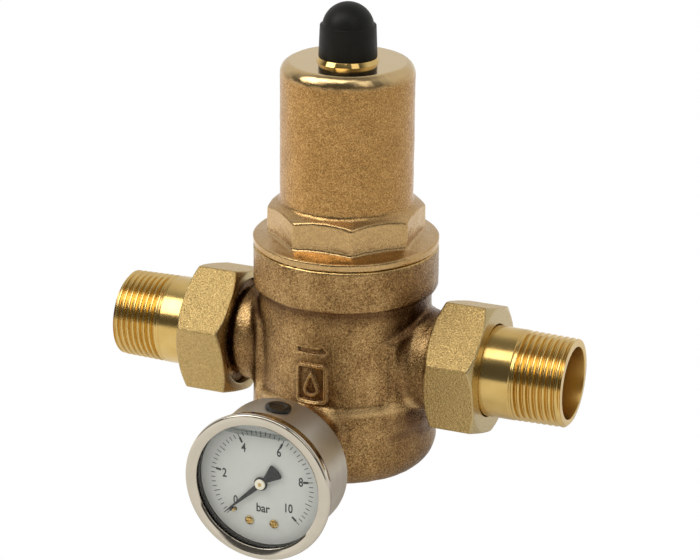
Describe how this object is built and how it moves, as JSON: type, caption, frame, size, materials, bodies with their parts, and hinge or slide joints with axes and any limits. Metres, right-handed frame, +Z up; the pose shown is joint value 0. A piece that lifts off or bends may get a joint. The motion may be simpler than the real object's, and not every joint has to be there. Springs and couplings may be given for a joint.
{
  "type": "pressure reducing valve",
  "caption": "Cast gunmetal pressure reducing valve with spring bonnet and black cap, union ends with male pipe thread, and a small dial pressure gauge at the front.",
  "frame": {"origin": "centre of the valve body's flat closed foot, on the bonnet and spindle axis", "axes": "+X along the flow from inlet to outlet, -Y out of the gauge dial, +Z up through the bonnet"},
  "size_m": [0.178, 0.1302, 0.1823],
  "materials": {
    "cast_gunmetal_body": "rough sand-cast",
    "cast_gunmetal_bonnet": "rough sand-cast, lighter",
    "forged_brass": "blasted forging, machined ends",
    "turned_brass": "polished, turned",
    "movement_brass": "satin",
    "stainless_steel": "turned",
    "spring_steel": "drawn wire",
    "black_rubber": "matte",
    "black_plastic": "satin moulded",
    "white_plastic": "moulded",
    "polished_bezel": "polished",
    "gauge_case_steel": "satin drawn",
    "window_glass": "clear",
    "dial_face": "matte printed",
    "pointer_paint": "matte black"
  },
  "bodies": {
    "valve": {"valve_body": "cast_gunmetal_body", "bonnet": "cast_gunmetal_bonnet", "slip_ring": "white_plastic", "seat_cartridge": "turned_brass", "cartridge_lower_o_ring": "black_rubber", "cartridge_upper_o_ring": "black_rubber", "strainer": "stainless_steel", "spindle_bush": "turned_brass", "rear_port_plug": "turned_brass", "rear_port_seal": "black_rubber", "gauge_socket": "turned_brass", "gauge_seal": "black_rubber", "gauge_case": "gauge_case_steel", "gauge_fill_plug": "black_rubber", "gauge_bezel": "polished_bezel", "gauge_window": "window_glass", "window_gasket": "black_rubber", "gauge_dial": "dial_face", "dial_screw_1": "movement_brass", "dial_screw_2": "movement_brass", "dial_stop_pin": "movement_brass", "movement_back_plate": "movement_brass", "movement_front_plate": "movement_brass", "movement_pillar_1": "movement_brass", "movement_pillar_2": "movement_brass", "bourdon_tube": "movement_brass"},
    "stem": {"valve_stem": "stainless_steel", "balance_piston": "turned_brass", "piston_o_ring": "black_rubber", "disc_holder": "turned_brass", "valve_disc": "black_rubber", "disc_nut": "stainless_steel", "lower_diaphragm_plate": "turned_brass", "diaphragm": "black_rubber", "lower_spring_plate": "stainless_steel", "plate_nut": "stainless_steel", "main_spring": "spring_steel"},
    "spring_plate": {"upper_spring_plate": "stainless_steel"},
    "spindle": {"adjusting_spindle": "stainless_steel"},
    "lock_nut": {"lock_nut": "stainless_steel"},
    "cap": {"protective_cap": "black_plastic"},
    "inlet_tail": {"inlet_tailpiece": "turned_brass", "inlet_union_gasket": "black_rubber"},
    "inlet_nut": {"inlet_union_nut": "forged_brass"},
    "outlet_tail": {"outlet_tailpiece": "turned_brass", "outlet_union_gasket": "black_rubber"},
    "outlet_nut": {"outlet_union_nut": "forged_brass"},
    "pointer": {"gauge_pointer": "pointer_paint", "pointer_boss": "white_plastic", "pinion_shaft": "movement_brass"},
    "sector": {"sector_gear": "movement_brass"},
    "link": {"movement_link": "movement_brass"}
  },
  "joints": [
    {"name": "cap_lift", "type": "slide", "parent": "valve", "child": "cap", "axis": [0, 0, 1], "range_m": [0, 0.03]},
    {"name": "lock_nut_turn", "type": "hinge", "parent": "valve", "child": "lock_nut", "pos_m": [0, 0, 0.1611], "axis": [0, 0, 1], "range_deg": [0, 60]},
    {"name": "set_pressure_slide", "type": "slide", "parent": "valve", "child": "spring_plate", "axis": [0, 0, 1], "range_m": [-0.005, 0.005], "deforming": ["main_spring"]},
    {"name": "spindle_turn", "type": "hinge", "parent": "spring_plate", "child": "spindle", "pos_m": [0, 0, 0.1491], "axis": [0, 0, 1], "range_deg": [-1441, 1441]},
    {"name": "stem_slide", "type": "slide", "parent": "valve", "child": "stem", "axis": [0, 0, 1], "range_m": [0, 0.0025], "deforming": ["diaphragm"]},
    {"name": "inlet_union_slide", "type": "slide", "parent": "valve", "child": "inlet_tail", "axis": [-1, 0, 0], "range_m": [0, 0.012]},
    {"name": "inlet_nut_turn", "type": "hinge", "parent": "inlet_tail", "child": "inlet_nut", "pos_m": [-0.049, 0, 0.0441], "axis": [-1, 0, 0], "range_deg": [0, 1872]},
    {"name": "outlet_union_slide", "type": "slide", "parent": "valve", "child": "outlet_tail", "axis": [1, 0, 0], "range_m": [0, 0.012]},
    {"name": "outlet_nut_turn", "type": "hinge", "parent": "outlet_tail", "child": "outlet_nut", "pos_m": [0.049, 0, 0.0441], "axis": [1, 0, 0], "range_deg": [0, 1872]},
    {"name": "sector_swing", "type": "hinge", "parent": "valve", "child": "sector", "pos_m": [0.00047, -0.067, 0.0082], "axis": [0, -1, 0], "range_deg": [0, 45], "stiffness_Nm_per_rad": 0.002, "springref_deg": -1.15},
    {"name": "pointer_turn", "type": "hinge", "parent": "valve", "child": "pointer", "pos_m": [0.0002, -0.077, 0.0208], "axis": [0, 1, 0], "range_deg": [0, 270]},
    {"name": "link_turn", "type": "hinge", "parent": "sector", "child": "link", "pos_m": [0.00742, -0.069, 0.00635], "axis": [0, -1, 0], "range_deg": [-45, 0]}
  ],
  "couplings": [
    {"joint": "spindle_turn", "follows": "set_pressure_slide", "rad_per_m": 5026.5},
    {"joint": "inlet_nut_turn", "follows": "inlet_union_slide", "rad_per_m": 2721.2},
    {"joint": "outlet_nut_turn", "follows": "outlet_union_slide", "rad_per_m": 2721.2},
    {"joint": "pointer_turn", "follows": "sector_swing", "ratio": 6},
    {"joint": "link_turn", "follows": "sector_swing", "ratio": -1}
  ]
}
